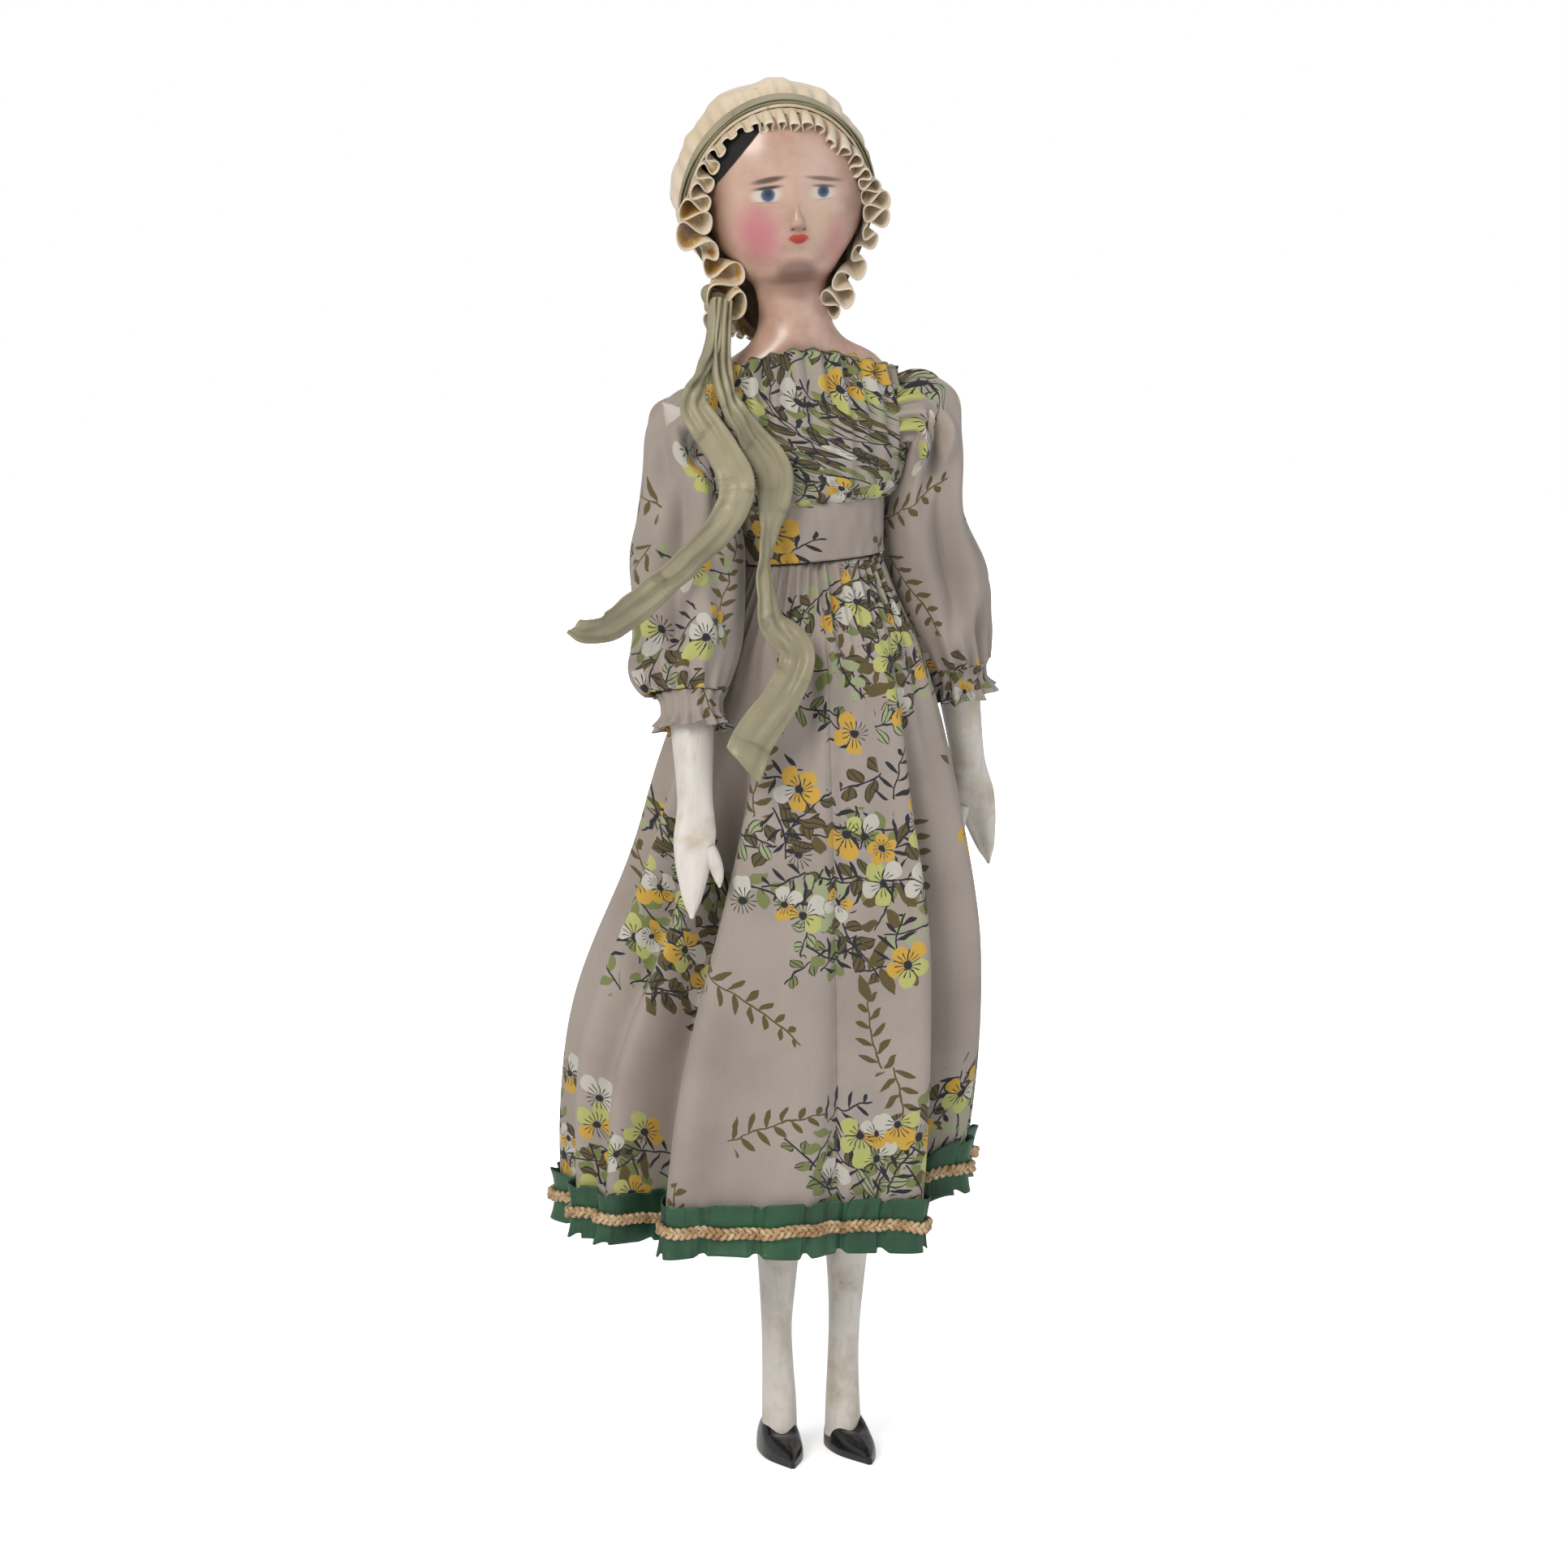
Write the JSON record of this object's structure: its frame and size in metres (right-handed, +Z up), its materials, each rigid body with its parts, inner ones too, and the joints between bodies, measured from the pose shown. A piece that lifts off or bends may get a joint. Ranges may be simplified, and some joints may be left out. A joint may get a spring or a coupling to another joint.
{
  "type": "peg wooden doll",
  "caption": "Jointed wooden peg doll in a floral gown with a ribboned hem, a gathered bonnet and silk ties; pegged shoulders, elbows, hips and knees",
  "frame": {"origin": "In the middle of the wooden waist, 249 mm above the soles, where the ring of a doll stand holds the doll under its skirt", "axes": "+Z up; the doll faces -Y; +X is the left side of the doll, on the right of the picture"},
  "size_m": [0.1247, 0.097, 0.3799],
  "materials": {
    "flesh_paint": "varnished flesh paint over wood, with rubbed chin and cheeks",
    "white_paint": "satin white paint over wood, rubbed through to tan in places; black gloss slippers on the shins",
    "bare_wood": "bare turned dowel, end grain",
    "print_cloth": null,
    "green_satin": "box-pleated satin ribbon",
    "gold_braid": "plaited metallic braid, dulled",
    "cream_silk": "aged cream silk with yellow stains on the ruffle",
    "sage_silk": "thin sage silk ribbon, creased"
  },
  "bodies": {
    "right_thigh": {"right_thigh": "white_paint", "right_knee_peg": "bare_wood"},
    "left_thigh": {"left_thigh": "white_paint", "left_knee_peg": "bare_wood"},
    "right_shin": {"right_shin": "white_paint"},
    "left_shin": {"left_shin": "white_paint"},
    "right_upper_arm": {"right_upper_arm": "white_paint", "right_elbow_peg": "bare_wood", "right_sleeve": "print_cloth"},
    "left_upper_arm": {"left_upper_arm": "white_paint", "left_elbow_peg": "bare_wood", "left_sleeve": "print_cloth"},
    "right_forearm": {"right_forearm": "white_paint", "right_cuff": "print_cloth"},
    "left_forearm": {"left_forearm": "white_paint", "left_cuff": "print_cloth"},
    "figure": {"torso": "flesh_paint", "nose": "flesh_paint", "hip_peg": "bare_wood", "right_shoulder_peg": "bare_wood", "left_shoulder_peg": "bare_wood", "bodice": "print_cloth", "waistband": "print_cloth", "skirt": "print_cloth", "hem_ribbon": "green_satin", "hem_braid": "gold_braid", "bonnet_crown": "cream_silk", "bonnet_ruffle": "cream_silk", "bonnet_ribbon": "sage_silk", "ribbon_knot": "sage_silk", "ribbon_long": "sage_silk", "ribbon_short": "sage_silk"}
  },
  "joints": [
    {"name": "right_shoulder", "type": "hinge", "parent": "figure", "child": "right_upper_arm", "pos_m": [-0.03565, 0, 0.03431], "axis": [-1, 0, 0.0087], "range_deg": [-55, 100], "deforming": ["ribbon_short"]},
    {"name": "right_elbow", "type": "hinge", "parent": "right_upper_arm", "child": "right_forearm", "pos_m": [-0.03617, -0.01813, -0.02498], "axis": [-1, 0, 0.0087], "range_deg": [0, 90], "deforming": ["right_sleeve", "ribbon_short"]},
    {"name": "right_hip", "type": "hinge", "parent": "figure", "child": "right_thigh", "pos_m": [-0.0095, 0, -0.071], "axis": [-1, 0, 0], "range_deg": [-10, 90], "deforming": ["skirt", "hem_ribbon", "hem_braid", "ribbon_long"]},
    {"name": "right_knee", "type": "hinge", "parent": "right_thigh", "child": "right_shin", "pos_m": [-0.0095, 0, -0.157], "axis": [1, 0, 0], "range_deg": [0, 45]},
    {"name": "left_shoulder", "type": "hinge", "parent": "figure", "child": "left_upper_arm", "pos_m": [0.02985, 0, 0.03946], "axis": [-0.9863, 0, -0.165], "range_deg": [-30, 124]},
    {"name": "left_elbow", "type": "hinge", "parent": "left_upper_arm", "child": "left_forearm", "pos_m": [0.03998, 0.00863, -0.02109], "axis": [-0.9863, 0, -0.165], "range_deg": [0, 90], "deforming": ["left_sleeve"]},
    {"name": "left_hip", "type": "hinge", "parent": "figure", "child": "left_thigh", "pos_m": [0.0095, 0, -0.071], "axis": [-1, 0, 0], "range_deg": [-10, 90], "deforming": ["skirt", "hem_ribbon", "hem_braid", "ribbon_long"]},
    {"name": "left_knee", "type": "hinge", "parent": "left_thigh", "child": "left_shin", "pos_m": [0.0095, 0, -0.157], "axis": [1, 0, 0], "range_deg": [0, 45]}
  ]
}
